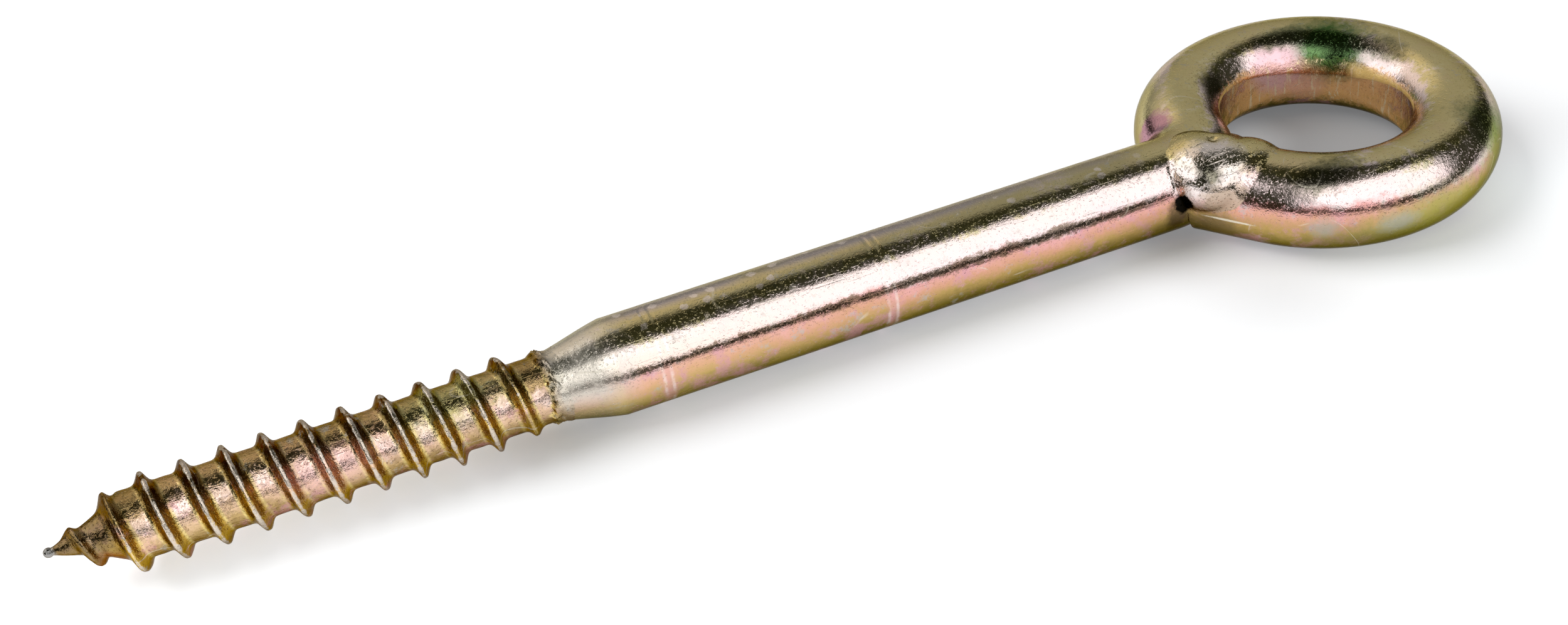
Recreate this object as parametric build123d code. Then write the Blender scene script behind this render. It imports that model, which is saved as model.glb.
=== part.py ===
from build123d import *
from math import asin, atan2, ceil, cos, radians, sin, sqrt, tan
import os

# Scaffold eye screw: one steel rod with a rolled wood-screw thread and a point at one end.
# The other end is bent into a round eye, and an arc weld closes the eye against the neck.
# Frame in millimetres: the origin is the centre of the eye, +X runs along the shank from the
# point to the eye, and +Z is the axis of the eye. The screw lies flat at z = -ROD_D / 2.

# Rod, eye and neck
ROD_D = 12.0
EYE_BORE_D = 23.5
EYE_WALL_H = 4.3  # the rod's inner side is pressed flat to this height against the bore
NECK_BEND_R = 1.0  # inside radius of the sharp bend from the shank into the eye
SHANK_OFFSET = 1.7  # the shank runs this far to the -Y side of the eye's centre
END_GAP = 0.3  # between the rod's cut end and the neck, under the weld

# Shank and thread
POINT_TO_EYE = 165.1
THREAD_LENGTH = 58.7  # from the tip to where the ridge has run out
NECKING_LENGTH = 6.8  # cone from the thread's core up to the plain shank
THREAD_D = 10.9
CORE_D = 8.3
PITCH = 4.6
CREST_W = 0.5  # between the flanks, before its edges are rounded off
CREST_DROP = 0.15  # height of those rounded edges
FLANK_ANGLE = 27.0
POINT_LENGTH = 9.3
NIB_D = 1.1
RIDGE_START = 1.2  # from the tip to the first trace of the ridge
START_ANGLE = 176.0  # where the ridge would meet the tip, turned from +Y towards +Z
RUN_OUT = 5.0  # length over which the ridge sinks back into the core

# Weld bead over the joint: a round dome, narrower below where it fills the gap
BEAD_D = 14.0
BEAD_TOP = 7.2  # heights above the rod's middle plane
BEAD_RIM = 1.5
BEAD_ROOT = -1.0
BEAD_ROOT_D = 7.0
BEAD_OUT = 0.6  # from the eye's centreline out to the bead's middle
BEAD_TURN = 19.0  # angle of the bead's middle from the -X direction, about the eye

BURIED = 0.3  # how deep the ridge's foot sits inside the core
POINTS_PER_TURN = 16

rod_r = ROD_D / 2
bore_r = EYE_BORE_D / 2
core_r = CORE_D / 2
full_height = (THREAD_D - CORE_D) / 2
nib_r = NIB_D / 2
ring_r = bore_r + sqrt(rod_r**2 - (EYE_WALL_H / 2) ** 2)
eye_outer_r = ring_r + rod_r
bend_r = NECK_BEND_R + rod_r
neck_x = -sqrt((ring_r + bend_r) ** 2 - (bend_r - SHANK_OFFSET) ** 2)
tip_x = -POINT_TO_EYE
point_end_x = tip_x + POINT_LENGTH
thread_end_x = tip_x + THREAD_LENGTH
shank_start_x = thread_end_x + NECKING_LENGTH


def shank():
    """The form without the ridge: nib, point, core, cone and plain rod up to the neck."""
    nib_back = Vector(tip_x + nib_r, nib_r)
    with BuildPart() as body:
        with BuildSketch(Plane.XY):
            with BuildLine():
                RadiusArc((tip_x, 0), nib_back, nib_r)
                Polyline(
                    nib_back,
                    (point_end_x, core_r),
                    (thread_end_x, core_r),
                    (shank_start_x, rod_r),
                    (neck_x, rod_r),
                    (neck_x, 0),
                    (tip_x, 0),
                )
            make_face()
        revolve(axis=Axis.X)
    return body.part


def core_radius(x):
    """Radius of the core at x, on the point and behind it."""
    along = (x - tip_x - nib_r) / (POINT_LENGTH - nib_r)
    return nib_r + (core_r - nib_r) * min(max(along, 0), 1)


def ridge_height(x):
    """Height of the ridge over the core at x: it grows along the point and sinks at its end."""
    grown = (x - tip_x - RIDGE_START) / (POINT_LENGTH - RIDGE_START)
    left = (thread_end_x - x) / RUN_OUT
    return full_height * min(grown, left, 1)


def ridge_corners(x):
    """Corners of the ridge's section where its middle is at x, from the foot on the point's side."""
    height = ridge_height(x)
    crest = core_radius(x) + height
    shoulder = crest - CREST_DROP * height / full_height
    foot = core_radius(x) - BURIED
    slope = tan(radians(FLANK_ANGLE))
    half = CREST_W / 2
    side = [
        (half + (crest - foot) * slope, foot),
        (half + (crest - shoulder) * slope, shoulder),
        (half - (crest - shoulder), crest),
    ]
    section = [(-shift, radius) for shift, radius in side] + side[::-1]
    angle = radians(START_ANGLE + 360 * (x - tip_x) / PITCH)
    return [(x + shift, radius * cos(angle), radius * sin(angle)) for shift, radius in section]


def ridge_turn(first_x, last_x):
    """A turn of the ridge as a closed solid, between two flat faces through the axis."""
    steps = [first_x + (last_x - first_x) * i / POINTS_PER_TURN for i in range(POINTS_PER_TURN + 1)]
    rows = zip(*[ridge_corners(x) for x in steps])
    edges = [Edge.make_spline([Vector(*point) for point in row]) for row in rows]
    strips = [
        Face.make_surface_from_curves(a, b) for a, b in zip(edges, edges[1:] + edges[:1])
    ]
    caps = [
        Face(Wire.make_polygon([edge @ end for edge in edges], close=True)) for end in (0, 1)
    ]
    return Solid(Shell(strips + caps))


def ridge():
    """The thread's ridge, turn by turn, with its foot inside the core."""
    first_x = tip_x + RIDGE_START
    turns = ceil((thread_end_x - first_x) / PITCH)
    ends = [first_x + (thread_end_x - first_x) * i / turns for i in range(turns + 1)]
    return [ridge_turn(a, b) for a, b in zip(ends, ends[1:])]


def eye():
    """Neck and eye: the rod bends sharply to +Y, then runs round the bore back to the neck."""
    bend_centre = Vector(neck_x, bend_r - SHANK_OFFSET)
    meet = atan2(bend_r - SHANK_OFFSET, neck_x)
    end = -radians(180) + asin((SHANK_OFFSET + rod_r + END_GAP) / eye_outer_r)
    half_bend = (meet - radians(180) - radians(90)) / 2
    bend_mid = bend_centre + Vector(cos(half_bend), sin(half_bend)) * bend_r
    ring_points = [Vector(cos(a), sin(a)) * ring_r for a in (meet, (meet + end) / 2, end)]
    path = Wire([
        Edge.make_three_point_arc(Vector(neck_x, -SHANK_OFFSET), bend_mid, ring_points[0]),
        Edge.make_three_point_arc(*ring_points),
    ])
    section = Plane(origin=(neck_x, -SHANK_OFFSET, 0), z_dir=(1, 0, 0)) * Circle(rod_r)
    return sweep(section, path=path)


def bead():
    """The weld: a dome across the joint between the rod's end and the neck."""
    turn = radians(180 + BEAD_TURN)
    rise = BEAD_TOP - BEAD_RIM
    dome_r = ((BEAD_D / 2) ** 2 + rise**2) / (2 * rise)
    with BuildPart() as body:
        with BuildSketch(Plane.XZ):
            with BuildLine():
                RadiusArc((0, BEAD_TOP), (BEAD_D / 2, BEAD_RIM), dome_r)
                Polyline(
                    (BEAD_D / 2, BEAD_RIM),
                    (BEAD_ROOT_D / 2, BEAD_ROOT),
                    (0, BEAD_ROOT),
                    (0, BEAD_TOP),
                )
            make_face()
        revolve(axis=Axis.Z)
    return Pos(*Vector(cos(turn), sin(turn)) * (ring_r + BEAD_OUT)) * body.part


def eye_screw():
    """All of it as one solid: the threaded shank, and the welded eye with its bore pressed round."""
    threaded = Pos(0, -SHANK_OFFSET, 0) * shank().fuse(*ridge())
    welded = eye() + bead() - Cylinder(bore_r, 4 * ROD_D)
    return threaded + welded


os.makedirs("parts", exist_ok=True)
export_step(eye_screw(), "parts/eye_screw.step")
print("Eye centreline radius", round(ring_r, 3), "outer radius", round(eye_outer_r, 3))
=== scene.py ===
import math

import bpy
import numpy as np
from mathutils import Matrix, Vector, noise


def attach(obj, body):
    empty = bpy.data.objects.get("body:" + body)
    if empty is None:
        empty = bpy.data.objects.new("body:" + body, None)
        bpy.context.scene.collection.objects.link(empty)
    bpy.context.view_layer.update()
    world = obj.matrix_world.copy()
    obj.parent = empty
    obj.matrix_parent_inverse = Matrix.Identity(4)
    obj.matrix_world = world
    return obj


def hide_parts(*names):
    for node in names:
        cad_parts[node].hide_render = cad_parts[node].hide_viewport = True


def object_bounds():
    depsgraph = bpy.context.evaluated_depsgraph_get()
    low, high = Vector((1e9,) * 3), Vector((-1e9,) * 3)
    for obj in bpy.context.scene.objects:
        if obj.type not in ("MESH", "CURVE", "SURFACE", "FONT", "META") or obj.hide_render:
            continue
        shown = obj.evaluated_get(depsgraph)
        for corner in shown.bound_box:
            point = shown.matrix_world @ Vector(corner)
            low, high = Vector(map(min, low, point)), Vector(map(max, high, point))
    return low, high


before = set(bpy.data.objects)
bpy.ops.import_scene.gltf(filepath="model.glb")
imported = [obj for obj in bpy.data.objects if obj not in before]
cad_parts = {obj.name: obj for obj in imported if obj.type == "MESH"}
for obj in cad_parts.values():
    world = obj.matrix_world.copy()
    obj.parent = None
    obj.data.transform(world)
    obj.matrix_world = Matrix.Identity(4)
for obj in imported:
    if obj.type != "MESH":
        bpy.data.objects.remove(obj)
cad_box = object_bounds()
for thing in bpy.context.selected_objects:
    thing.select_set(False)

# Rod and eye
# The 12 mm steel rod, bent sharply sideways at the neck and rolled round into the eye, whose
# inner side is pressed flat. It is zinc plated and yellow passivated, so it is bright metal
# with a tint that drifts between pink, gold and green.
mm = 0.001
rod_r = 6.0 * mm
core_r = 4.15 * mm
cone_start_x, cone_end_x = -98.4 * mm, -106.6 * mm
neck_x = -23.768 * mm
offset = 1.7 * mm
bend_r = 7.0 * mm
ring_r = 17.352 * mm
ring_start = math.atan2(bend_r - offset, neck_x)
ring_end = math.radians(-142)
returned_l = 8.5 * mm
bore_r = 11.6 * mm
bore_shift = np.array((0.09, 0.12)) * mm
bore_wide_way, bore_widening = np.array((0.81, -0.59)), 0.05
rod_sides, bend_steps, ring_steps, cone_steps = 120, 26, 180, 16
tolerance = 1e-6
crease = math.radians(40)


def cone_radius(x):
    """The rod's radius where it narrows to the thread's core, with both ends rounded."""
    share = (x - cone_end_x) / (cone_start_x - cone_end_x)
    eased = share * share * (3 - 2 * share)
    return core_r + (rod_r - core_r) * (0.75 * share + 0.25 * eased)


def shape_points(piece, change):
    """Moves every point of a mesh: change takes and gives an array of x, y, z rows."""
    points = np.zeros(len(piece.data.vertices) * 3)
    piece.data.vertices.foreach_get("co", points)
    piece.data.vertices.foreach_set("co", change(points.reshape(-1, 3)).ravel())
    piece.data.update()


def pick(piece, wanted):
    """Selects the points of a piece in edit mode for which wanted(place) is true."""
    bpy.ops.object.mode_set(mode="OBJECT")
    for elements in (piece.data.vertices, piece.data.edges, piece.data.polygons):
        elements.foreach_set("select", [False] * len(elements))
    for point in piece.data.vertices:
        point.select = wanted(point.co)
    bpy.ops.object.mode_set(mode="EDIT")
    bpy.ops.mesh.select_mode(type="VERT")


def settle(piece, name):
    """Applies a piece's place, names it, smooths it and fixes it to the body."""
    bpy.ops.object.mode_set(mode="OBJECT")
    bpy.ops.object.select_all(action="DESELECT")
    bpy.context.view_layer.objects.active = piece
    piece.select_set(True)
    bpy.ops.object.transform_apply(location=True, rotation=True, scale=True)
    piece.name = name
    piece.data.name = name
    bpy.ops.object.shade_smooth_by_angle(angle=crease)
    piece.select_set(False)
    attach(piece, "root")
    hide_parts("eye_screw")


# The bend and the ring are spun from a circle at the neck, and the returned end runs straight
bpy.ops.mesh.primitive_circle_add(
    vertices=rod_sides, radius=rod_r, location=(neck_x, -offset, 0),
    rotation=(0, math.pi / 2, 0)
)
rod = bpy.context.object
bpy.ops.object.transform_apply(location=True, rotation=True, scale=True)
bpy.ops.object.mode_set(mode="EDIT")
bpy.ops.mesh.select_all(action="SELECT")
bpy.ops.mesh.spin(
    steps=bend_steps, angle=math.radians(90) - ring_start,
    center=(neck_x, bend_r - offset, 0), axis=(0, 0, 1)
)
bpy.ops.mesh.spin(
    steps=ring_steps, angle=ring_start - ring_end, center=(0, 0, 0), axis=(0, 0, 1)
)
onward = Vector((math.sin(ring_end), -math.cos(ring_end), 0)) * returned_l
bpy.ops.mesh.extrude_region_move(TRANSFORM_OT_translate={"value": onward})
bpy.ops.mesh.edge_face_add()

# The circle at the neck is drawn out into the shank, and narrowed into the cone
neck_top = rod_r - offset + tolerance
pick(rod, lambda place: abs(place.x - neck_x) < tolerance and place.y < neck_top)
here_x, here_r = neck_x, rod_r
for step in range(cone_steps + 1):
    x = cone_start_x + (cone_end_x - cone_start_x) * step / cone_steps
    bpy.ops.mesh.extrude_region_move(TRANSFORM_OT_translate={"value": (x - here_x, 0, 0)})
    shrink = cone_radius(x) / here_r
    bpy.ops.transform.resize(value=(1, shrink, shrink), center_override=(x, -offset, 0))
    here_x, here_r = x, cone_radius(x)
bpy.ops.mesh.select_all(action="SELECT")
bpy.ops.mesh.normals_make_consistent(inside=False)


def press_bore(points):
    """Pushes what reaches into the bore back to its wall, a little oval and off the middle."""
    flat = points[:, :2] + bore_shift
    slack = np.outer(flat @ bore_wide_way * bore_widening, bore_wide_way)
    reach = np.hypot(*(flat - slack).T)
    inside = reach < bore_r
    points[inside, :2] *= (bore_r / reach[inside])[:, None]
    return points


bpy.ops.object.mode_set(mode="OBJECT")
shape_points(rod, press_bore)
settle(rod, "rod_and_eye")


class Shading:
    """The shader nodes of a finish or of the room. Its methods give outputs to feed others."""

    def __init__(self, owner):
        owner.use_nodes = True
        self.nodes, self.links = owner.node_tree.nodes, owner.node_tree.links
        self.coordinates = self.nodes.new("ShaderNodeTexCoord").outputs

    def add(self, kind, inputs, **settings):
        """Adds a node with its settings, and feeds its inputs with values or outputs."""
        made = self.nodes.new("ShaderNode" + kind)
        for setting, value in settings.items():
            setattr(made, setting, value)
        for key, value in inputs.items():
            if isinstance(value, bpy.types.NodeSocket):
                self.links.new(value, made.inputs[key])
            else:
                made.inputs[key].default_value = value
        return made.outputs

    def maths(self, kind, first, second=0.0):
        """Reckons with one level or two, in the way that kind says."""
        return self.add("Math", {0: first, 1: second}, operation=kind)["Value"]

    def vector(self, kind, first, second=(0, 0, 0)):
        """Reckons with one place or two, in the way that kind says."""
        return self.add("VectorMath", {0: first, 1: second}, operation=kind)

    def plus(self, first, *others):
        """The sum of several levels."""
        for other in others:
            first = self.maths("ADD", first, other)
        return first

    def times(self, first, *others):
        """The product of several levels."""
        for other in others:
            first = self.maths("MULTIPLY", first, other)
        return first

    def remap(self, source, low, high, to_low=0.0, to_high=1.0, curve="LINEAR"):
        """Carries the span from low to high over to the one from to_low to to_high."""
        spans = {"From Min": low, "From Max": high, "To Min": to_low, "To Max": to_high}
        return self.add("MapRange", {"Value": source, **spans}, interpolation_type=curve)["Result"]

    def mix(self, amount, first, second):
        """Lays the second colour over the first. Either is a plain colour or an output."""
        colours = {"A": first, "B": second}
        for key, colour in colours.items():
            if isinstance(colour, tuple):
                colours[key] = (*colour, 1)
        return self.add("Mix", {"Factor": amount, **colours}, data_type="RGBA")["Result"]

    def cloud(self, size, detail, roughness=0.6, stretch=(1, 1, 1), turn=0.0):
        """Clouds of a size, mostly between the levels 0.3 and 0.7."""
        spread = {"Vector": self.coordinates["Object"], "Scale": stretch, "Rotation": (0, 0, turn)}
        texture = {
            "Vector": self.add("Mapping", spread)["Vector"],
            "Scale": 1 / size,
            "Detail": detail,
            "Roughness": roughness,
        }
        return self.add("TexNoise", texture)["Fac"]

    def waver(self, width, size, detail, roughness=0.6):
        """A level that wavers between -width and width, to make an edge ragged."""
        return self.remap(self.cloud(size, detail, roughness), 0.3, 0.7, -width, width)

    def near(self, centre, inner, outer, stretch=(1, 1, 1)):
        """One within inner mm of a place in mm and nought beyond outer mm, raggedly."""
        gap = self.vector("SUBTRACT", self.coordinates["Object"], Vector(centre) * mm)["Vector"]
        gap = self.vector("MULTIPLY", gap, stretch)["Vector"]
        away = self.vector("LENGTH", gap)["Value"]
        ragged = self.waver(min(0.6, outer * 0.2) * mm, 1.2 * mm, 5, 0.7)
        return self.remap(self.plus(away, ragged), inner * mm, outer * mm, 1.0, 0.0)

    def raised(self, source, depth, below=None):
        """Relief of a depth, on top of the relief below it."""
        relief = {"Height": source, "Strength": 1.0, "Distance": depth}
        if below:
            relief["Normal"] = below
        return self.add("Bump", relief)["Normal"]


# Stretches of the rod, as pairs of x, over which a finish sets in or fades out
neck_fade = (-30 * mm, -26 * mm)
shank_start = (-100 * mm, -97 * mm)
cone_start = (-107 * mm, -105.5 * mm)
cone_fade = (-101 * mm, -96 * mm)
mirrored_gap_widening = (-80 * mm, -50 * mm)
left_rim = (-7 * mm, -4 * mm)
right_rim = (9.3 * mm, 10.3 * mm)
mirrored_gap_z = 2.3 * mm
around_bore = (1, 1, 0)

# Colours of the finish, with its painted shade, reflections and glint, from the lowest coat to the
# topmost
gold_fringe = (0.84, 0.68, 0.26)
brown_shade = (0.08, 0.045, 0.02)
pink_blush = (0.72, 0.36, 0.44)
brown_tarnish = (0.28, 0.18, 0.07)
olive_crest_shade = (0.42, 0.36, 0.19)
bare_zinc = (0.50, 0.50, 0.47)
mauve_reflection = (0.52, 0.46, 0.47)
brown_mirrored_gap = (0.19, 0.13, 0.07)
gold_rim_glint = (1.0, 0.76, 0.32)
gold_streak = (1.0, 0.80, 0.50)
grey_cone = (0.66, 0.62, 0.54)
worn_zinc = (0.66, 0.59, 0.52)
bright_scratch = (0.95, 0.88, 0.74)
pale_pit = (0.97, 0.86, 0.82)
bright_clamp = (1.0, 0.90, 0.84)


def level_of(height):
    """The share of the rod's thickness that lies below a height in mm."""
    return (height + 6) / 12


def yellow_zinc(
    name, tints, flank_tint, grain_size, grain, fleck, dull, patches=(), marks=(),
    worn_r=1.0, brush=0.0, blush=2.3, tarnish=0.0, rim=(0.45, 0.42, 0.30)
):
    """Bright zinc under a yellow passivation: drifting tint, fine grain, flecks and scratches.

    tints are (height in mm, colour) pairs: the passivation's hues change with height, and the
    bands also paint shade, darker low down and on the thread high up too, and a pale pink band
    where the highlight falls. flank_tint is the colour of faces that look along the rod. The grain
    is grain_size wide and grain deep, the flecks are fleck deep, and dull is the least roughness.
    patches are (centre in mm, stretch, inner and outer radius in mm, colour, amount) patches of
    colour: stains, and also painted shade, painted highlight and painted dark reflections. marks
    are places along the rod where a clamp has left a shallow ring, the plating is worn bright
    beyond worn_r from the rod's middle line, the scratches run at the angle brush to the rod, and
    pink clouds reach up to the height blush in mm. tarnish is the share of brown between the pink,
    and rim is the tint of what is seen at a slant. The finish also paints brown shade high on faces
    that look along the rod, olive shade along the shank's top, a gold glint on the bore's rim, and
    reflections on the shank: mauve on its far side and a dark line along its near side.
    """
    finish = bpy.data.materials.new(name)
    zinc = Shading(finish)
    metal = zinc.nodes["Principled BSDF"]
    metal.inputs["Metallic"].default_value = 1.0
    metal.inputs["Specular Tint"].default_value = (*rim, 1)

    # Where a spot lies on the rod, and which way its surface faces
    x, y, z = zinc.add("SeparateXYZ", {"Vector": zinc.coordinates["Object"]})
    facing_x, facing_y, facing_z = zinc.add("SeparateXYZ", {"Vector": zinc.coordinates["Normal"]})
    level = zinc.remap(z, -rod_r, rod_r)
    straight = zinc.remap(x, *neck_fade, 1.0, 0.0)
    shank = zinc.times(straight, zinc.remap(x, *shank_start))
    cone = zinc.times(zinc.remap(x, *cone_start), zinc.remap(x, *cone_fade, 1.0, 0.0))
    tilt = zinc.times(zinc.maths("ABSOLUTE", facing_x), straight)
    in_bore = zinc.near((0, 0, 0), 11.9, 12.4, around_bore)
    off_axis = zinc.maths("SQRT", zinc.plus(
        zinc.maths("POWER", zinc.plus(y, offset), 2.0), zinc.maths("POWER", z, 2.0)
    ))

    # Bands of tint by height, whose edges drift up and down: the passivation's hues, with painted
    # shade low down and a painted highlight band
    tint_and_shade_bands = zinc.nodes.new("ShaderNodeValToRGB")
    stops = tint_and_shade_bands.color_ramp.elements
    stops.remove(stops[1])
    for count, (height, colour) in enumerate(tints):
        stop = stops[0] if count == 0 else stops.new(level_of(height))
        stop.position = level_of(height)
        stop.color = (*colour, 1)
    drift = zinc.plus(level, zinc.waver(0.06, 9 * mm, 3), zinc.waver(0.04, 1.1 * mm, 4, 0.7))
    zinc.links.new(drift, tint_and_shade_bands.inputs["Fac"])

    # Faces that look along the rod: golden at their edge, and painted brown shade high up
    fringe = zinc.times(
        zinc.remap(tilt, 0.04, 0.2, 0.0, 0.7),
        zinc.remap(level, 0.75, 0.9, 1.0, 0.1),
        zinc.remap(cone, 0.0, 1.0, 1.0, 0.1),
    )
    flank = zinc.remap(tilt, 0.25, 0.55, 0.0, 0.92)
    shaded = zinc.times(
        zinc.remap(tilt, 0.15, 0.45, 0.0, 0.85), zinc.remap(level, 0.72, 0.88, 0.0, 1.1)
    )

    # Pink clouds low down, tarnish, painted shade that darkens the shank's top to olive, and thin
    # plating
    blushed = zinc.times(
        zinc.remap(zinc.cloud(4 * mm, 5, 0.7), 0.52, 0.64, 0.0, 0.6),
        zinc.remap(level, level_of(blush) - 0.03, level_of(blush) + 0.03, 1.0, 0.15),
    )
    tarnished = zinc.remap(zinc.cloud(2.6 * mm, 6, 0.75), 0.46, 0.58, 0.0, tarnish)
    crest_shade = zinc.times(zinc.remap(level, 0.94, 0.99, 0.0, 0.55), shank)
    bare = zinc.remap(zinc.cloud(2.2 * mm, 6, 0.75), 0.58, 0.66, 0.0, 0.55)

    # Painted reflections on the shank: mauve-grey on its far upper side, and a dark line along its
    # near side where the dark gap between the near softbox and the floor is mirrored
    far_side_reflection = zinc.times(
        zinc.maths(
            "MINIMUM",
            zinc.remap(facing_y, -0.08, 0.14, 0.0, 0.9),
            zinc.remap(facing_y, 0.4, 0.65, 0.9, 0.1),
        ),
        zinc.remap(zinc.cloud(12 * mm, 3, 0.6, (0.5, 1, 1)), 0.42, 0.56, 0.4, 1.0),
        zinc.remap(level, 0.5, 0.6),
        shank,
    )
    off_mirrored_gap = zinc.plus(z, -mirrored_gap_z, zinc.waver(0.6 * mm, 1.8 * mm, 6, 0.85))
    mirrored_gap_width = zinc.remap(x, *mirrored_gap_widening, 0.2 * mm, 0.38 * mm)
    mirrored_gap = zinc.times(
        zinc.remap(
            zinc.maths("DIVIDE", zinc.maths("ABSOLUTE", off_mirrored_gap), mirrored_gap_width), 0.9, 1.8, 0.8, 0.0
        ),
        shank,
        zinc.remap(facing_y, 0.0, 0.1, 1.0, 0.0),
    )

    # A painted gold glint along the bore's rim, the bore's rubbed wall, the pale cone and what is
    # worn bright
    rim_glint = zinc.times(
        zinc.remap(facing_z, 0.03, 0.1),
        zinc.remap(facing_z, 0.42, 0.55, 1.0, 0.0),
        zinc.near((0, 0, 0), 12.4, 12.9, around_bore),
        zinc.plus(zinc.remap(x, *left_rim, 1.0, 0.0), zinc.remap(x, *right_rim)),
    )
    rubbed = zinc.cloud(0.7 * mm, 5, 0.75, (1, 1, 0.12))
    streak = zinc.times(zinc.remap(rubbed, 0.54, 0.62, 0.0, 0.9), in_bore)
    pale = zinc.times(cone, zinc.remap(level, 0.4, 0.6, 0.25, 0.9))
    worn = zinc.remap(
        zinc.plus(off_axis, zinc.waver(0.2 * mm, 1.3 * mm, 3)), worn_r - 0.1 * mm, worn_r, 0.0, 0.85
    )

    # Hair-thin scratches, and the round pits high on the shank
    off_hair = zinc.maths("ABSOLUTE", zinc.plus(zinc.cloud(17 * mm, 1, 0.4), -0.5))
    hair = zinc.times(
        zinc.remap(off_hair, 0.001, 0.003, 1.0, 0.0),
        zinc.remap(zinc.cloud(5 * mm, 2), 0.5, 0.56, 0.0, 0.35),
    )
    cells = {"Vector": zinc.coordinates["Object"], "Scale": 1 / (2.4 * mm)}
    off_pit = zinc.plus(zinc.add("TexVoronoi", cells)["Distance"], zinc.waver(0.06, 0.6 * mm, 3))
    pits = zinc.times(
        zinc.remap(off_pit, 0.2, 0.26, 1.0, 0.0),
        zinc.remap(zinc.cloud(9 * mm, 2), 0.46, 0.52),
        zinc.times(shank, zinc.remap(level, 0.8, 0.86)),
    )

    # The colour, one coat over the other
    coats = [
        (fringe, gold_fringe),
        (flank, flank_tint),
        (shaded, brown_shade),
        (blushed, pink_blush),
        (tarnished, brown_tarnish),
        (crest_shade, olive_crest_shade),
        (bare, bare_zinc),
        (far_side_reflection, mauve_reflection),
        (mirrored_gap, brown_mirrored_gap),
    ]
    for centre, stretch, inner, outer, colour, amount in patches:
        coats.append((zinc.times(zinc.near(centre, inner, outer, stretch), amount), colour))
    coats += [
        (rim_glint, gold_rim_glint),
        (streak, gold_streak),
        (pale, grey_cone),
        (worn, worn_zinc),
        (hair, bright_scratch),
        (zinc.times(pits, 0.6), pale_pit),
    ]
    relief = None
    for mark in marks:
        off_mark = zinc.maths("ABSOLUTE", zinc.plus(x, -mark))
        scraped = zinc.times(
            zinc.remap(off_mark, 0.08 * mm, 0.3 * mm, 0.5, 0.0),
            zinc.remap(level, 0.72, 0.82, 1.0, 0.0),
            zinc.remap(zinc.cloud(2 * mm, 4, 0.7), 0.4, 0.6),
        )
        coats.append((scraped, bright_clamp))
        relief = zinc.raised(zinc.remap(off_mark, 0.1 * mm, 0.4 * mm), 0.04 * mm, relief)
    tint = tint_and_shade_bands.outputs["Color"]
    for amount, colour in coats:
        tint = zinc.mix(amount, tint, colour)
    zinc.links.new(tint, metal.inputs["Base Color"])

    # The gloss, dulled in clouds, in spots and where the surface is hurt
    roughness = zinc.plus(
        zinc.remap(zinc.cloud(1.6 * mm, 6, 0.75), 0.4, 0.7, dull, dull + 0.12),
        zinc.times(cone, 0.12),
        zinc.remap(zinc.cloud(0.5 * mm, 4, 0.75), 0.58, 0.66, 0.0, 0.3),
        zinc.times(hair, 0.4),
        zinc.times(pits, 0.14),
        zinc.plus(zinc.times(in_bore, 0.07), zinc.times(rim_glint, 0.4)),
        zinc.times(worn, 0.1),
    )
    zinc.links.new(roughness, metal.inputs["Roughness"])

    # The relief: clamp rings, grain, flecks, drawn scratches and the bore's pressed wall
    flecks = zinc.remap(zinc.cloud(0.33 * mm, 2, 0.5), 0.6, 0.7, 1.0, 0.0)
    drawn = zinc.cloud(0.5 * mm, 3, 0.6, (0.06, 1, 1), brush)
    relief = zinc.raised(zinc.cloud(grain_size, 4, 0.7), grain, relief)
    relief = zinc.raised(flecks, fleck, relief)
    relief = zinc.raised(zinc.remap(drawn, 0.6, 0.7, 1.0, 0.0), fleck * 0.6, relief)
    relief = zinc.raised(zinc.times(rubbed, in_bore), 0.06 * mm, relief)
    zinc.links.new(relief, metal.inputs["Normal"])
    return finish


# Darker low down is painted shade, and the pale pink from 2.9 to 5.1 mm is painted where the near
# softbox's highlight falls
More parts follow.
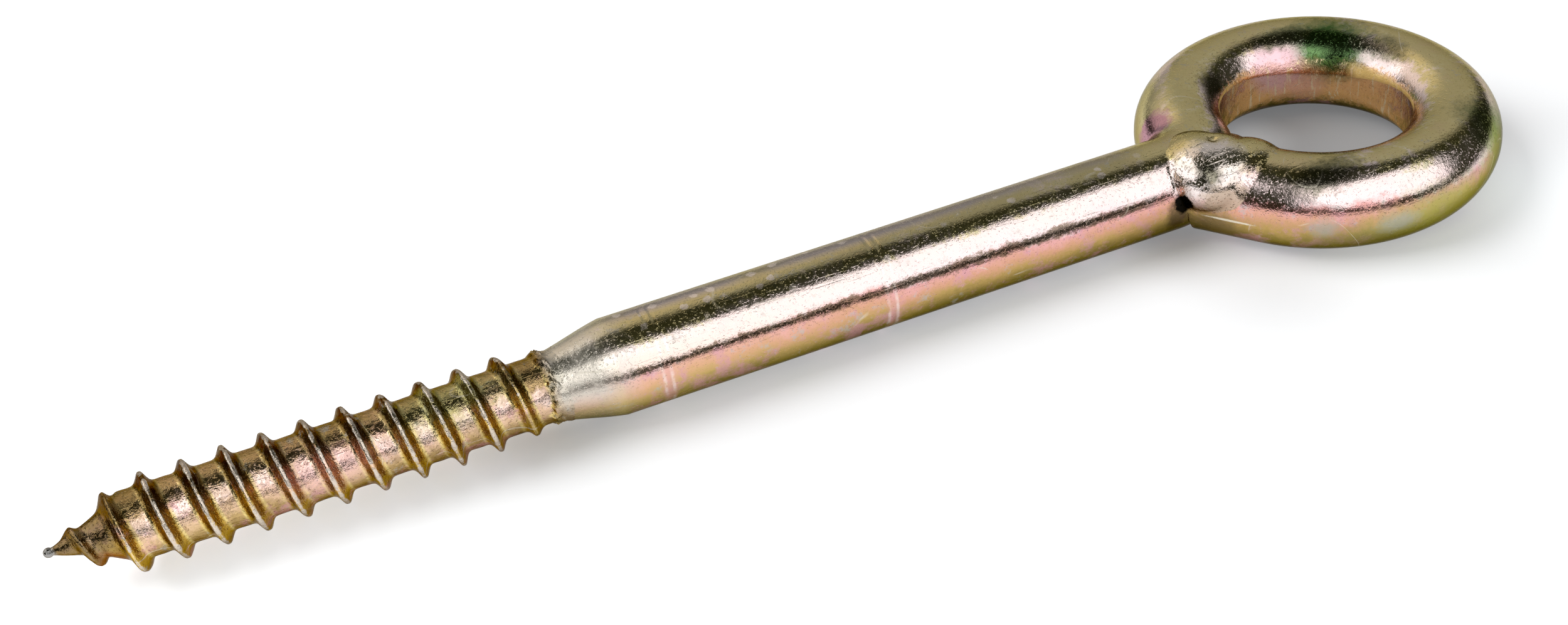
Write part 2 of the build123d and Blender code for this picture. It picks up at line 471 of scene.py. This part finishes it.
rod_tints = [
    (-6, (0.14, 0.09, 0.09)),
    (-4.4, (0.19, 0.14, 0.08)),
    (-3, (0.32, 0.25, 0.07)),
    (-1, (0.56, 0.38, 0.13)),
    (0.6, (0.72, 0.38, 0.25)),
    (2, (0.84, 0.43, 0.41)),
    (2.9, (0.97, 0.78, 0.78)),
    (5.1, (0.94, 0.78, 0.74)),
    (5.6, (0.74, 0.64, 0.34)),
    (6, (0.72, 0.60, 0.30)),
]
clamp_marks = (-93.7 * mm, -92.7 * mm, -64.9 * mm, -63.8 * mm)
# Painted shade: dark brown in the cleft under the weld, and near-black where the gap beside the
# neck lies in shadow
cleft_shade = ((-24.9, -7.6, -1.0), (1, 1, 0.6), 0.9, 2.1, (0.13, 0.09, 0.05), 0.85)
hole_shade = ((-24.4, -8.1, 1.1), (1, 1, 0.7), 1.1, 1.4, (0.006, 0.005, 0.004), 1.0)
# Stains of the plating, and among them painted shade and painted dark reflections, each marked
rod_stains_and_shade = [
    ((-20.5, 11, 2.5), (0.5, 0.5, 1), 3.0, 5.0, (0.60, 0.53, 0.28), 0.9),
    # The next two are painted dark reflections on the ring's near side, left of its highlight and
    # at its right
    ((-9.5, -16.5, 4.2), (0.5, 1, 1), 1.8, 3.2, (0.10, 0.10, 0.06), 0.85),
    ((13.5, -15.5, 4.2), (0.6, 0.6, 1), 1.2, 3.2, (0.12, 0.15, 0.09), 0.8),
    ((-21.3, 5.2, 4.1), (1, 1, 1), 2.2, 3.3, (0.55, 0.30, 0.38), 0.95),
    ((0, 0, 0), around_bore, 11.9, 12.6, (1.0, 0.56, 0.22), 0.85),
    ((3, -22.5, -1.5), (0.4, 1, 1), 2.5, 5.5, (0.42, 0.40, 0.10), 0.8),
    ((15, -17.5, 0), (0.8, 0.8, 0.8), 2.0, 6.0, (0.34, 0.42, 0.14), 0.8),
    ((19, -13.5, 0.5), (1, 0.8, 1), 1.0, 5.5, (0.16, 0.34, 0.25), 0.75),
    # Green tint, made dark enough to paint a gap into the mirrored highlight on the ring's far side
    ((8.8, 10.2, 4.3), (0.6, 0.6, 0.8), 1.8, 4.2, (0.05, 0.14, 0.03), 0.95),
    ((1.5, 12, 2.8), (1, 1, 1), 2.5, 4.5, (0.85, 0.52, 0.60), 0.7),
    # The next three are painted dark reflections that widen the dark band on the ring's far side
    ((-9.4, 9.2, 4.8), (0.7, 0.7, 1), 1.0, 2.2, (0.15, 0.13, 0.08), 0.85),
    ((3.5, 14.2, 5.5), (0.45, 1, 1), 1.0, 2.2, (0.13, 0.15, 0.08), 0.8),
    ((13.8, 4.0, 5.5), (0.8, 0.5, 1), 1.0, 2.2, (0.18, 0.17, 0.10), 0.8),
    ((5, 10.6, 0), (0.8, 0.8, 1), 1.0, 3.5, (0.90, 0.46, 0.42), 0.5),
    ((-8, -21, -4.5), (0.5, 1, 1), 3.0, 6.0, (0.24, 0.20, 0.07), 0.7),
    ((-12.2, -19.9, -0.1), (0.6, 1, 1), 0.6, 1.8, (0.42, 0.42, 0.38), 0.6),
    ((-3.6, -23.1, -0.4), (0.5, 1, 1), 0.6, 1.9, (0.42, 0.42, 0.38), 0.6),
    ((-93.2, -8, -1.5), (1, 0.2, 0.3), 0.5, 1.3, (0.80, 0.42, 0.42), 0.6),
    ((-64.3, -8, -1.5), (1, 0.2, 0.3), 0.5, 1.2, (0.80, 0.42, 0.42), 0.5),
    # Painted shade that carries the cleft's dark brown on along the notch below the weld
    ((-21.0, -10.2, -2.4), (0.8, 1, 1), 1.6, 3.6, (0.30, 0.21, 0.10), 0.75),
    ((-20.4, -11.7, -0.8), (0.25, 0.25, 4), 0.5, 0.9, (1.0, 0.92, 0.75), 0.9),
    cleft_shade,
    hole_shade,
]
rod.data.materials.append(
    yellow_zinc(
        "rolled rod", rod_tints, flank_tint=(0.80, 0.68, 0.45), grain_size=0.7 * mm,
        grain=0.035 * mm, fleck=0.015 * mm, dull=0.09, patches=rod_stains_and_shade, marks=clamp_marks
    )
)

# Thread and point
# A coarse right-hand wood-screw thread, rolled into the end of the rod, so its core is thinner
# than the shank. It runs out onto a cone at one end, and at the other down a point that ends
# in a blunt nib.
pitch = 4.6 * mm
ridge_h = 1.3 * mm
tip_x = -165.1 * mm
nib_r = 0.55 * mm
nib_ball_r = nib_r * 1.08
point_end_x = tip_x + 9.3 * mm
ridge_start_x = tip_x + 1.2 * mm
lip_x = -104.6 * mm
run_out = 7.0 * mm
turns, steps_per_turn = 15, 96
crest_turn = 176 / 360
first_crest_x = tip_x - (crest_turn + 1) * pitch
merge = 0.01 * mm
hollow_share = 0.55
nib_neck_depth, nib_neck_along, nib_neck_reach = 0.17 * mm, 0.06, 0.09
burr_h, burr_width = 0.26 * mm, 0.24
unevenness = 0.06

# Half of the ridge's outline: mm along the rod from its crest, and share of its height
half_profile = [
    (0.0, 1.0), (0.14, 0.99), (0.25, 0.93), (0.36, 0.8), (0.62, 0.44), (0.84, 0.2),
    (1.04, 0.08), (1.25, 0.02), (1.5, 0.0), (1.75, 0.0), (2.0, 0.0), (2.3, 0.0),
]
profile = [(-along, rise) for along, rise in half_profile[:0:-1]] + half_profile
profile_mesh = bpy.data.meshes.new("thread")
profile_mesh.from_pydata(
    [(along * mm, core_r + rise * ridge_h, 0) for along, rise in profile],
    [(i, i + 1) for i in range(len(profile) - 1)],
    [],
)

# The outline is wound round the rod, cut off at both ends and tapered
thread = bpy.data.objects.new("thread", profile_mesh)
bpy.context.scene.collection.objects.link(thread)
bpy.context.view_layer.objects.active = thread
thread.select_set(True)
winding = thread.modifiers.new("winding", "SCREW")
winding.axis = "X"
winding.angle = math.radians(360)
winding.screw_offset = pitch
winding.iterations = turns
winding.steps = steps_per_turn
winding.render_steps = steps_per_turn
bpy.ops.object.modifier_apply(modifier="winding")
thread.location = (first_crest_x, -offset, 0)
bpy.ops.object.transform_apply(location=True, rotation=True, scale=True)
bpy.ops.object.mode_set(mode="EDIT")
bpy.ops.mesh.select_all(action="SELECT")
bpy.ops.mesh.remove_doubles(threshold=merge)
for cut_x, keep_left in ((lip_x, True), (tip_x + nib_r, False)):
    bpy.ops.mesh.select_all(action="SELECT")
    bpy.ops.mesh.bisect(
        plane_co=(cut_x, 0, 0), plane_no=(1, 0, 0), clear_outer=keep_left,
        clear_inner=not keep_left
    )
bpy.ops.mesh.select_all(action="SELECT")
bpy.ops.mesh.normals_make_consistent(inside=True)
bpy.ops.object.mode_set(mode="OBJECT")


def lumps(points, size):
    """An unevenness between -1 and 1 at each point, in lumps of a size."""
    return np.array([noise.noise(Vector(row) / size) for row in points])


def swelling(away, reach, power=2):
    """One where away is nought, fading to nought as it passes reach."""
    return np.exp(-(away / reach) ** power)


def taper_thread(points):
    """Brings the even thread down to the point at one end and sinks its ridge at the other.

    The point is hollow-ground, with a slight neck behind its nib, and the rolling has left
    the ridge uneven and raised a torn burr where the thread meets the cone.
    """
    x = points[:, 0]
    reach = np.hypot(points[:, 1] + offset, points[:, 2])
    ridge = (reach - core_r) / ridge_h
    along = np.clip((x - tip_x - nib_r) / (point_end_x - tip_x - nib_r), 0, 1)
    hollow = hollow_share * (core_r - nib_r) * along * (1 - along)
    hollow += nib_neck_depth * swelling(along - nib_neck_along, nib_neck_reach)
    core = nib_r + (core_r - nib_r) * along - hollow
    core += np.where(x > cone_end_x, cone_radius(x) - core_r, 0)
    grown = (x - ridge_start_x) / (point_end_x - ridge_start_x)
    left = (lip_x - x) / run_out
    height = ridge_h * np.clip(np.minimum(grown, left), 0, 1) + hollow * np.clip(4 * grown, 0, 1)
    uneven, torn = lumps(points, 1.7 * mm), lumps(points, 0.7 * mm)
    off_burr = (x - cone_end_x) / mm + uneven + 0.5 * torn - 0.3
    burr = (burr_h + 0.5 * mm * torn) * swelling(off_burr, burr_width)
    rough_core = core + unevenness * mm * uneven * along
    rough_ridge = height * ridge * (1 + unevenness * uneven)
    fit = (rough_core + rough_ridge + burr) / reach
    points[:, 1] = (points[:, 1] + offset) * fit - offset
    points[:, 2] *= fit
    return points


shape_points(thread, taper_thread)
bpy.ops.mesh.primitive_uv_sphere_add(
    segments=24, ring_count=16, radius=nib_ball_r, location=(tip_x + nib_ball_r, -offset, 0)
)
thread.select_set(True)
bpy.context.view_layer.objects.active = thread
bpy.ops.object.join()
# Darker low down and high up is painted shade, and the palest pink from 1.8 to 2.8 mm is painted
# where the highlight falls
thread_tints = [
    (-6, (0.10, 0.06, 0.04)),
    (-4.2, (0.18, 0.12, 0.05)),
    (-2.4, (0.38, 0.26, 0.09)),
    (-0.8, (0.54, 0.37, 0.16)),
    (0.8, (0.78, 0.53, 0.36)),
    (1.8, (0.98, 0.74, 0.66)),
    (2.8, (0.95, 0.70, 0.60)),
    (3.5, (0.50, 0.34, 0.17)),
    (4.4, (0.42, 0.30, 0.13)),
    (5.1, (0.20, 0.13, 0.06)),
    (6, (0.14, 0.09, 0.05)),
]
thread_stains = [
    ((-161, -1.7, 0), (1, 1, 1), 3.5, 7.5, (0.20, 0.13, 0.06), 0.85),
    ((-158, -4.6, -2.5), (1, 1, 1), 1.0, 2.6, (0.40, 0.13, 0.06), 0.6),
    ((-165.1, -1.7, 0), (1, 1, 1), 1.0, 1.6, (0.34, 0.35, 0.36), 0.8),
    ((-133, -6, 2), (0.4, 1, 1), 1.5, 3.6, (0.80, 0.47, 0.47), 0.5),
    ((-118, -3, 3.5), (0.4, 1, 1), 1.5, 3.6, (0.50, 0.50, 0.22), 0.5),
]
thread.data.materials.append(
    yellow_zinc(
        "rolled thread", thread_tints, flank_tint=(0.52, 0.32, 0.05), grain_size=1.5 * mm,
        grain=0.17 * mm, fleck=0.04 * mm, dull=0.12, patches=thread_stains,
        worn_r=5.42 * mm, blush=3.6, tarnish=0.5, rim=(0.34, 0.28, 0.2)
    )
)
settle(thread, "thread")

# Weld
# An arc-welded bead that closes the eye: it fills the joint between the rod's cut end and the
# neck, with ripples left by the electrode. It is plated together with the rod.
lobe_segments, lobe_rings = 64, 48
root_r = rod_r - 0.04 * mm
root_sides, root_steps = 96, 240
neck_root = (Vector((-23.8 * mm, -offset, 0)), Vector((-16 * mm, 0, 0)))
cut_end = Vector((ring_r * math.cos(ring_end), ring_r * math.sin(ring_end), 0))
arc_start, arc_end = ring_end + math.radians(30), ring_end - math.radians(28)
bead_detail = 0.2 * mm
blend_share, blend_rounds = 0.5, 44
bead_middle = np.array((-18.2, -5.8, 0.8)) * mm
ripple_middle, ripple_reach = np.array((-19, -6, 6)) * mm, 5 * mm
pit_middle, pit_reach = np.array((-18.8, -5.1, 7.0)) * mm, 0.8 * mm
swell_share, fine_share, pit_share = 0.014, 0.002, 0.08

# The bead's three lobes, as centre and radii in mm, are joined to the stretches of rod and ring
# under them, and smoothed so that they blend into those
lobes = (
    ((-20.2, -5.2, 2.9), (5.2, 6.8, 4.5)),
    ((-17.8, -6.4, 2.9), (4.1, 5.8, 4.4)),
    ((-15.6, -8.0, 0.9), (6.1, 6.1, 5.9)),
)
parts = []
for centre, radii in lobes:
    bpy.ops.mesh.primitive_uv_sphere_add(
        segments=lobe_segments, ring_count=lobe_rings, radius=mm, location=Vector(centre) * mm
    )
    bpy.context.object.scale = radii
    parts.append(bpy.context.object)
for start, along in (neck_root, (cut_end, onward)):
    bpy.ops.mesh.primitive_cylinder_add(
        vertices=root_sides, radius=root_r, depth=along.length, location=start + along / 2,
        rotation=along.to_track_quat("Z", "Y").to_euler()
    )
    parts.append(bpy.context.object)
bpy.ops.mesh.primitive_torus_add(
    major_radius=ring_r, minor_radius=root_r, major_segments=root_steps,
    minor_segments=root_sides
)
parts.append(bpy.context.object)
bpy.ops.object.mode_set(mode="EDIT")
for side, clockwise in ((arc_start, True), (arc_end, False)):
    bpy.ops.mesh.select_all(action="SELECT")
    bpy.ops.mesh.bisect(
        plane_co=(0, 0, 0), plane_no=(-math.sin(side), math.cos(side), 0), use_fill=True,
        clear_outer=clockwise, clear_inner=not clockwise
    )
bpy.ops.object.mode_set(mode="OBJECT")
for part in parts:
    part.select_set(True)
bead = parts[0]
bpy.context.view_layer.objects.active = bead
bpy.ops.object.join()
bpy.ops.object.transform_apply(location=True, rotation=True, scale=True)
bead.data.remesh_voxel_size = bead_detail
bpy.ops.object.voxel_remesh()
blend = bead.modifiers.new("blend", "SMOOTH")
blend.factor = blend_share
blend.iterations = blend_rounds
bpy.ops.object.modifier_apply(modifier="blend")


def ripple_bead(points):
    """Presses ripples, a pit and unevenness into the bead's surface."""
    dome = swelling(np.linalg.norm(points - ripple_middle, axis=1), ripple_reach, 4)
    pit = swelling(np.linalg.norm(points - pit_middle, axis=1), pit_reach)
    growth = swell_share * lumps(points, 3.6 * mm) + fine_share * lumps(points, 0.9 * mm)
    growth -= pit_share * pit
    return bead_middle + (points - bead_middle) * (1 + growth * dome)[:, None]


shape_points(bead, ripple_bead)
shape_points(bead, press_bore)
bead_stains_and_shade = [
    # A cream tint over the dome's left highlight: partly the weld's own colour, partly painted
    # highlight
    ((-21.2, -8.2, 4.6), (0.8, 1, 1), 3.2, 4.8, (0.96, 0.85, 0.81), 0.85),
    # Painted dark reflection between the dome's two highlights
    ((-22.0, -10.0, 5.6), (1.2, 0.8, 0.8), 0.7, 2.0, (0.10, 0.10, 0.05), 0.85),
    ((-17.4, -12.0, 4.8), (1, 1, 1), 0.9, 2.2, (0.60, 0.42, 0.40), 0.6),
    # Painted shade on the bead's underside and toe
    ((-20.8, -11.6, 2.2), (0.7, 1, 1), 1.6, 2.9, (0.56, 0.42, 0.31), 0.9),
    cleft_shade,
    hole_shade,
]
bead.data.materials.append(
    yellow_zinc(
        "weld metal", rod_tints, flank_tint=(0.80, 0.66, 0.45), grain_size=1.5 * mm,
        grain=0.09 * mm, fleck=0.05 * mm, dull=0.09, patches=bead_stains_and_shade,
        brush=math.radians(-49)
    )
)
settle(bead, "weld_bead")

# Floor, light and camera
# The screw lies on a plain white floor that glows a little. Inside the eye the paper is darker
# and glows less, which paints the eye's shadow, and spots of more or less glow paint light and
# shade round the screw. Two soft lights stand on the near side and a third beyond the screw's
# point, all three for the metal to mirror, and a key light beyond the point lights the floor.
floor_gap = 0.01 * mm
screw_middle = Vector((-50, 0, 0)) * mm
eye_rim = (ring_r, ring_r + 2 * mm)

# Spots of painted light and shade, where the floor glows more or less: centre and reach in mm, and
# amount
light_and_shade_spots = (
    ((-4, 9, 0), 8, 0.17),
    ((-148, -8, 0), 50, 0.22),
    ((24, -22, 0), 20, 0.2),
    ((-19, -21, 0), 16, -0.14),
    ((-24, -7, 0), 12, -0.22),
    ((-106, -4, 0), 14, -0.14),
)
bpy.ops.mesh.primitive_plane_add(size=4, location=(0, 0, cad_box[0].z - floor_gap))
floor = bpy.context.object
floor.name = "floor"
white_paper = bpy.data.materials.new("white paper")
paper = Shading(white_paper)
matt = paper.nodes["Principled BSDF"]
matt.inputs["Roughness"].default_value = 0.9
matt.inputs["Specular IOR Level"].default_value = 0.1


def spread_from(centre, start, end, at_start, at_end):
    """A level on the paper that changes with the distance from a place."""
    away = paper.vector("DISTANCE", paper.coordinates["Object"], centre)["Value"]
    return paper.remap(away, start, end, at_start, at_end, "SMOOTHSTEP")


# Darker paper inside the eye: painted shade
paper_whiteness_and_shade = spread_from((0, 0, 0), *eye_rim, 0.27, 0.85)
paper.links.new(paper_whiteness_and_shade, matt.inputs["Base Color"])
# Less glow inside the eye is painted shade, and each spot adds painted light, or painted shade
# where its amount is below nought
glow_and_shade = spread_from((0, 0, 0), *eye_rim, 0.155, 0.39)
for centre, reach, amount in light_and_shade_spots:
    spot = spread_from(Vector(centre) * mm, 0.0, reach * mm, amount, 0.0)
    glow_and_shade = paper.plus(glow_and_shade, spot)
glow = paper.add("Emission", {"Color": (0.94, 0.97, 1.0, 1), "Strength": glow_and_shade})
lit_paper = paper.add("AddShader", {0: matt.outputs[0], 1: glow[0]})
paper.links.new(lit_paper[0], paper.nodes["Material Output"].inputs["Surface"])
floor.data.materials.append(white_paper)


def direction(azimuth, elevation):
    """A direction given by two angles in degrees."""
    az, el = math.radians(azimuth), math.radians(elevation)
    return Vector((math.cos(el) * math.cos(az), math.cos(el) * math.sin(az), math.sin(el)))


def soft_light(name, azimuth, elevation, distance, width, height, radiance):
    """A rectangular lamp that faces the middle of the screw from a direction."""
    lamp = bpy.data.lights.new(name, "AREA")
    lamp.shape = "RECTANGLE"
    lamp.size, lamp.size_y = width, height
    lamp.energy = radiance * width * height * math.pi
    stand = bpy.data.objects.new(name, lamp)
    bpy.context.scene.collection.objects.link(stand)
    aim = direction(azimuth, elevation)
    stand.location = screw_middle + aim * distance
    stand.rotation_euler = aim.to_track_quat("Z", "Y").to_euler()
    return stand


soft_light("near softbox", -71, 41, 1.0, 1.45, 1.03, 1.25).visible_diffuse = False
soft_light("side softbox", -120, 41, 1.0, 0.35, 1.03, 0.95).visible_diffuse = False
soft_light("far softbox", 158, 38, 1.0, 1.0, 0.85, 1.2).visible_diffuse = False
soft_light("key light", 150, 41, 2.0, 1.6, 1.6, 4.8).visible_glossy = False

# The metal mirrors a dark room with a dim wall and a warm glow on the far side, while the
# floor is lit evenly by a grey room and the camera sees a white one.
dark_room = (0.030, 0.032, 0.018)
dim_wall = (0.42, 0.42, 0.42)
warm_glow = (0.80, 0.72, 0.62)
grey_room = (0.3, 0.3, 0.3)
white_room = (1, 1, 1)
room_world = bpy.data.worlds.new("room")
bpy.context.scene.world = room_world
room = Shading(room_world)


def toward(azimuth, elevation, outer, inner):
    """One in a direction and nought away from it. outer and inner are cosines of angles."""
    middle = direction(azimuth, elevation)
    cosine = room.vector("DOT_PRODUCT", room.coordinates["Generated"], middle)["Value"]
    return room.remap(cosine, outer, inner, curve="SMOOTHSTEP")


ray = room.add("LightPath", {})
mirrored = room.mix(toward(67, 27, 0.73, 0.85), dark_room, dim_wall)
mirrored = room.mix(toward(104, 38, 0.86, 0.97), mirrored, warm_glow)
seen = room.mix(ray["Is Glossy Ray"], grey_room, mirrored)
seen = room.mix(ray["Is Camera Ray"], seen, white_room)
room.links.new(seen, room.nodes["Background"].inputs["Color"])

camera_place = Vector((-0.132997, -0.183714, 0.140741))
looked_at = Vector((-0.076457, -0.002192, 0))
camera_roll = -0.13613
camera = bpy.data.objects.new("camera", bpy.data.cameras.new("camera"))
bpy.context.scene.collection.objects.link(camera)
turn = (looked_at - camera_place).to_track_quat("-Z", "Y").to_matrix().to_4x4()
camera.matrix_world = (
    Matrix.Translation(camera_place) @ turn @ Matrix.Rotation(camera_roll, 4, "Z")
)
camera.data.sensor_width = 36
camera.data.lens = 44.81
camera.data.clip_start = 0.01
bpy.context.scene.camera = camera
bpy.context.scene.view_settings.view_transform = "Standard"
